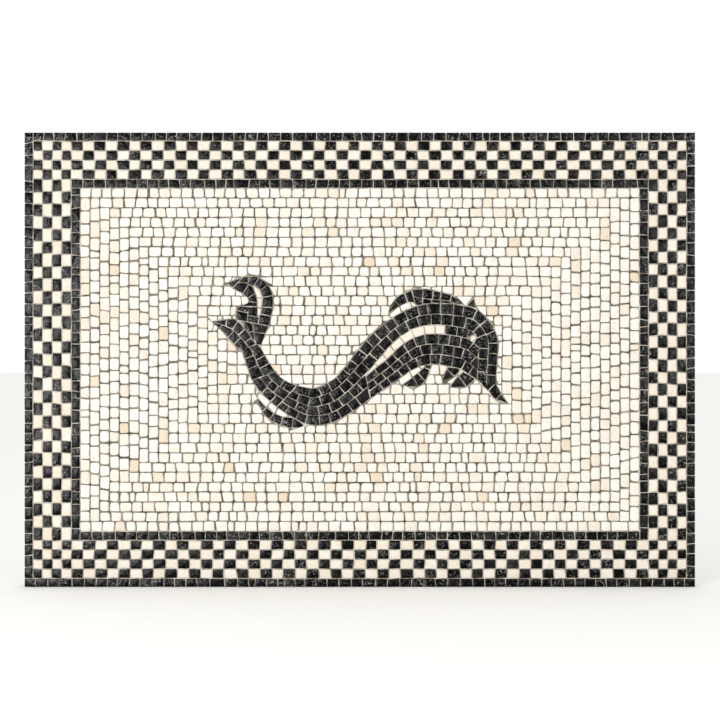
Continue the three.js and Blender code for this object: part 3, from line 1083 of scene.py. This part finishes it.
def wear_stones(bm, number, rim, stones, cut, face):
    """Tilt, sink and roughen each stone by itself, and note its tint and how near its edge a point is."""
    shoulder = face + (cut.edge + cut.crown) * MM
    leans = []
    for _ in stones:
        leans.append((dice.gauss(0, cut.tilt), dice.gauss(0, cut.tilt), dice.uniform(0, cut.sunk) * MM))
    for vert in bm.verts:
        i = round(vert[number])
        stone, (lean_x, lean_z, sunk) = stones[i], leans[i]
        height = max(0, min(1, (shoulder - vert.co.y) / (shoulder - face)))
        on_front = vert.co.y < shoulder + 0.1 * MM
        ripple = noise.noise_vector(vert.co / (cut.grain * MM) + Vector((0, 0, 5.3 * i)))
        if on_front:
            across = vert.co.x - stone.middle.x * MM
            up = vert.co.z - stone.middle.y * MM
            push = lean_x * across + lean_z * up + sunk + ripple.y * cut.rough * MM * 0.7 * height
            vert.co.y = max(face, vert.co.y + push)
        vert.co.x += ripple.x * cut.rough * MM
        vert.co.z += ripple.z * cut.rough * MM
        vert[rim] = 1 - height
        vert[number] = cut.tints[0] + stone.tint * (cut.tints[1] - cut.tints[0])


def keep_inside(bm, node):
    """Keep a piece inside the box of the solid that it stands for."""
    low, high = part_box(node)
    for vert in bm.verts:
        for axis in range(3):
            vert.co[axis] = max(low[axis], min(high[axis], vert.co[axis]))


def add_object(name, data):
    made = bpy.data.objects.new(name, data)
    bpy.context.scene.collection.objects.link(made)
    return made


def add_mesh(name, bm, material):
    mesh = bpy.data.meshes.new(name)
    bm.to_mesh(mesh)
    bm.free()
    mesh.materials.append(material)
    return add_object(name, mesh)


def add_piece(name, bm, material, node, sharp=40):
    piece = add_mesh(name, bm, material)
    piece.data.shade_smooth()
    piece.data.set_sharp_from_angle(angle=math.radians(sharp))
    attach(piece, "root")
    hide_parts(node)


def add_stones(name, node, stones, cut, material):
    low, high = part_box(node)
    back, face = high[1], low[1]
    bm = bmesh.new()
    number = bm.verts.layers.float.new("tint")
    rim = bm.verts.layers.float.new("rim")
    flat_stones(bm, number, stones, cut, back)
    raise_stones(bm, number, stones, cut, back, face)
    wear_stones(bm, number, rim, stones, cut, face)
    keep_inside(bm, node)
    add_piece(name, bm, material, node)


def add_black(name, node, cells, jitter=BORDER_JITTER, gain=BORDER_GAIN):
    stones = stones_from(cells, jitter, -gain)
    add_stones(name, node, stones, black_cut, black_marble)


def add_white(name, node, cells, cut, jitter=0.2, slack=0.05, narrowest=SMALLEST_WIDTH):
    stones = stones_from(cells, jitter, slack, narrowest)
    add_stones(name, node, stones, cut, white_marble)


def add_ground(node, cells):
    add_white(node + "_stones", node, cells, ground_cut, GROUND_JITTER, -GROUND_GAIN, SMALLEST_GROUND_WIDTH)


# The border
outer = half_size("outer_black_course")
chequer = [half_size("chequer_course_%d" % (i + 1)) for i in range(CHEQUER_COURSES)]
inner = half_size("inner_black_course")
ground_nodes = sorted(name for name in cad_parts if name.startswith("ground_course_"))
ground = [half_size(name) for name in ground_nodes]
centre = half_size("ground_centre")


def course_between(number, outer_half, inner_half, sway=(BORDER_SWAY, BORDER_SWAY)):
    return Course(number, outer_half.x, outer_half.y, outer_half.x - inner_half.x - JOINT, sway)


outer_course = course_between(0, outer, chequer[0], (0, BORDER_SWAY))
outer_cells = black_course_cells(outer_course, [False, True, True, True])
add_black("outer_black_stones", "outer_black_course", outer_cells)

full_x = chequer[0].x + HALF_JOINT
full_z = chequer[0].y + HALF_JOINT
for ring, (half, following) in enumerate(zip(chequer, chequer[1:] + [inner])):
    course = course_between(ring + 1, half, following)
    node_name = "chequer_course_%d" % (ring + 1)
    cells = chequer_cells(course, ring, full_x, full_z)
    whites = cells["white"]
    add_white(node_name + "_white", node_name, whites, white_border_cut, BORDER_JITTER, BORDER_WHITE_SLACK)
    add_black(node_name + "_black", node_name, cells["black"])

inner_course = course_between(CHEQUER_COURSES + 1, inner, ground[0])
inner_cells = black_course_cells(inner_course, [True, True, False, False])
add_black("inner_black_stones", "inner_black_course", inner_cells)

# The figure
add_black("dolphin_body_stones", "dolphin_body", body_cells(), FIGURE_JITTER, FIGURE_GAIN)
stripe_cells = row_cells(body, STRIPE_FROM, STRIPE_TO, 1, top=stripe_top, bottom=stripe_bottom)
add_white("dolphin_flank_stripe_stones", "dolphin_flank_stripe", stripe_cells, white_border_cut)
for name in AREAS:
    node_name = "dolphin_" + name
    if name == "fluke_sliver":
        add_white(node_name + "_stones", node_name, area_cells(name), white_border_cut)
    else:
        add_black(node_name + "_stones", node_name, area_cells(name), FIGURE_JITTER, FIGURE_GAIN)
eye = [circle(eye_middle, EYE_RADIUS + HALF_JOINT, 10)]
add_white("dolphin_eye_stone", "dolphin_eye", eye, white_border_cut, 0.1, 0)

# The white ground, course by course, and its middle in one piece
linings = lining_cells()
ground_fences = figure_fences + [Fence(anticlockwise(cell), 0) for cell in linings]
first_line = CHEQUER_COURSES + 2
for i, (half, following) in enumerate(zip(ground, ground[1:] + [centre])):
    sway = (GROUND_SWAY if i else BORDER_SWAY, GROUND_SWAY)
    course = course_between(first_line + i, half, following, sway)
    add_ground(ground_nodes[i], ground_cells(course, i + 1, ground_fences))

pitch = ground[0].x - ground[1].x
centre_cells = list(linings)
rings = round(centre.y / pitch - 0.5)
for k in range(rings + 1):
    half = centre - Vector((k * pitch, k * pitch))
    line = first_line + len(ground) + k
    course = Course(line, half.x, half.y, pitch - JOINT, (GROUND_SWAY, GROUND_SWAY))
    centre_cells += ground_cells(course, len(ground) + k + 1, ground_fences, one_row=k == rings)
add_ground("ground_centre", centre_cells)


# The mortar between the stones
MORTAR_GRID = 2.6
FLUSH_DEPTH = 0.8
FIELD_DEPTH = 1.15
MORTAR_WAVE = 0.1
MORTAR_WAVE_LENGTH = 6


def flushness(x, z):
    """One where the mortar is grouted nearly flush: in the border and inside the figure. It also sets the
    mortar's painted shade, darker where the mortar lies deep.
    """
    if abs(x) > ground[0].x or abs(z) > ground[0].y:
        return 1.0
    spot = Vector((x, z))
    depth = max(fence.depth(spot) for fence in figure_fences)
    return max(0.0, min(1.0, 0.5 + depth))


def add_mortar():
    low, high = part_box("mortar_bed")
    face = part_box("ground_centre")[0][1]
    wide, tall = high[0] - low[0], high[2] - low[2]
    bm = bmesh.new()
    flush = bm.verts.layers.float.new("flush")
    across, up = (round(side / MM / MORTAR_GRID) for side in (wide, tall))
    bmesh.ops.create_grid(bm, x_segments=across, y_segments=up, size=0.5)
    bmesh.ops.scale(bm, vec=(wide, tall, 1), verts=bm.verts[:])
    bmesh.ops.rotate(bm, matrix=Matrix.Rotation(math.radians(90), 3, "X"), verts=bm.verts[:])
    for vert in bm.verts:
        share = flushness(vert.co.x / MM, vert.co.z / MM)
        wave = noise.noise(vert.co / (MORTAR_WAVE_LENGTH * MM)) * MORTAR_WAVE
        depth = FIELD_DEPTH + (FLUSH_DEPTH - FIELD_DEPTH) * share + wave
        vert.co.y = face + depth * MM
        # The share also paints the mortar's shade, darker where it lies deep
        vert[flush] = share
    rim_edges = [edge for edge in bm.edges if edge.is_boundary]
    walls = bmesh.ops.extrude_edge_only(bm, edges=rim_edges)["geom"]
    for part in walls:
        if isinstance(part, bmesh.types.BMVert):
            part.co.y = high[1]
    open_edges = [edge for edge in bm.edges if edge.is_boundary]
    bmesh.ops.holes_fill(bm, edges=open_edges)
    bmesh.ops.recalc_face_normals(bm, faces=bm.faces[:])
    add_piece("mortar", bm, mortar, "mortar_bed", sharp=60)


add_mortar()
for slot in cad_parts["backing_board"].material_slots:
    slot.material = cement_board


# The floor, the light and the camera: the sheens show in the black stones alone
LAMPS = [
    ("key", (-1.2, -1.9, 0.9), 1.2, 11, True),
    ("left_sheen", (-0.82, -1.75, 0), 0.6, 175, False),
    ("right_sheen", (0.92, -1.75, 0.26), 0.4, 70, False),
]
FLOOR_SIZE = 30
FLOOR_GAP = 0.0002
PICTURE_PIXELS = 720
PIXEL = 1.05
LENS = 85
SENSOR = 36
VIEW_RIGHT = 0.0002
VIEW_UP = -0.0003


def add_floor():
    material, tree = new_material("floor_paper_white")
    finish_material(tree, "#f4f3f0", 0.9, 0.5)
    bm = bmesh.new()
    bmesh.ops.create_grid(bm, x_segments=1, y_segments=1, size=FLOOR_SIZE)
    bmesh.ops.translate(bm, verts=bm.verts[:], vec=(0, 0, cad_box[0][2] - FLOOR_GAP))
    add_mesh("floor", bm, material)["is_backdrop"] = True


def add_area_light(name, place, size, power, lights_all):
    light = bpy.data.lights.new(name, "AREA")
    light.shape = "DISK"
    light.size = size
    light.energy = power
    lamp = add_object(name, light)
    lamp.location = place
    lamp.rotation_euler = (-Vector(place)).to_track_quat("-Z", "Y").to_euler()
    lamp.visible_diffuse = lights_all


def add_world(colour, strength):
    world = bpy.data.worlds.new("studio")
    world.use_nodes = True
    tree = world.node_tree
    tree.nodes.clear()
    sky = add_node(tree, "Background", {"Color": colour, "Strength": strength})
    add_node(tree, "OutputWorld", {"Surface": sky.outputs[0]})
    bpy.context.scene.world = world


def add_camera():
    distance = PICTURE_PIXELS * PIXEL * MM * LENS / SENSOR
    camera = bpy.data.cameras.new("camera")
    camera.lens = LENS
    camera.sensor_width = SENSOR
    eye_point = add_object("camera", camera)
    eye_point.location = (VIEW_RIGHT, cad_box[0][1] - distance, VIEW_UP)
    eye_point.rotation_euler = (math.radians(90), 0, 0)
    bpy.context.scene.camera = eye_point


add_floor()
for lamp in LAMPS:
    add_area_light(*lamp)
add_world("#ffffff", 1.0)
add_camera()
bpy.context.scene.view_settings.view_transform = "Standard"

boxes = {"solids": cad_box, "dressed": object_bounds()}
{key: [list(map(float, corner)) for corner in box] for key, box in boxes.items()}
